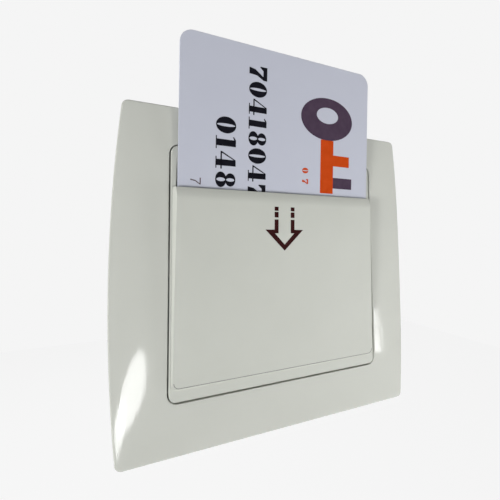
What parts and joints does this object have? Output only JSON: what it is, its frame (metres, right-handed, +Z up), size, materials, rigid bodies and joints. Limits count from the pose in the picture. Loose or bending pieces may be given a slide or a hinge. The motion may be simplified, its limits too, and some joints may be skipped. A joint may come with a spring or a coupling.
{
  "type": "hotel key card switch",
  "caption": "Square flush wall switch with a bowed cover frame and a card pocket; the inserted key card pushes a sprung slider whose cam works a changeover contact in the wall box.",
  "frame": {"origin": "on the wall plane, midway between the two box screw slots of the support frame", "axes": "+X to the right, +Y into the wall, +Z up along the card; the front faces -Y"},
  "size_m": [0.0816, 0.0366, 0.0949],
  "materials": {
    "shell": "gloss moulded white",
    "card": "laminated white card with print",
    "base": "fine moulded texture",
    "dark_plastic": "fine moulded texture",
    "red_plastic": "satin",
    "steel": "zinc plated",
    "brass": "stamped"
  },
  "bodies": {
    "base": {"cover_frame": "shell", "centre_plate": "shell", "card_cradle": "base", "cradle_screws": "steel", "return_spring": "steel", "support_frame": "steel", "claw_pins": "steel", "claw_screws": "steel", "housing_rivets": "steel", "mechanism_housing": "base", "switch_case": "dark_plastic", "switch_lid": "dark_plastic", "common_contact": "brass", "make_contact": "brass", "break_contact": "brass", "terminal_clamps": "brass", "terminal_screws": "steel", "rear_cover": "base", "rear_cover_screws": "steel"},
    "card": {"key_card": "card"},
    "slider": {"card_slider": "red_plastic"},
    "plunger": {"switch_plunger": "red_plastic"},
    "blade": {"contact_blade": "brass"},
    "left_claw": {"claw_left": "steel"},
    "right_claw": {"claw_right": "steel"}
  },
  "joints": [
    {"name": "card_slide", "type": "slide", "parent": "base", "child": "card", "axis": [0, -0.061, 0.9981], "range_m": [0, 0.052]},
    {"name": "slider_slide", "type": "slide", "parent": "base", "child": "slider", "axis": [0, 0, 1], "range_m": [0, 0.004], "deforming": ["return_spring"]},
    {"name": "plunger_slide", "type": "slide", "parent": "base", "child": "plunger", "axis": [0, -1, 0], "range_m": [0, 0.0012]},
    {"name": "blade_swing", "type": "hinge", "parent": "base", "child": "blade", "pos_m": [0, 0.0082, 0.0039], "axis": [-1, 0, 0], "range_deg": [0, 8.71]},
    {"name": "left_claw_swing", "type": "hinge", "parent": "base", "child": "left_claw", "pos_m": [-0.0255, 0.0038, 0], "axis": [0, 0, 1], "range_deg": [0, 20], "stiffness_Nm_per_rad": 0.001},
    {"name": "right_claw_swing", "type": "hinge", "parent": "base", "child": "right_claw", "pos_m": [0.0255, 0.0038, 0], "axis": [0, 0, -1], "range_deg": [0, 20], "stiffness_Nm_per_rad": 0.001}
  ],
  "couplings": [
    {"joint": "slider_slide", "follows": "card_slide", "ratio": 0.076923},
    {"joint": "plunger_slide", "follows": "card_slide", "ratio": 0.023077},
    {"joint": "blade_swing", "follows": "card_slide", "rad_per_m": 2.921}
  ]
}
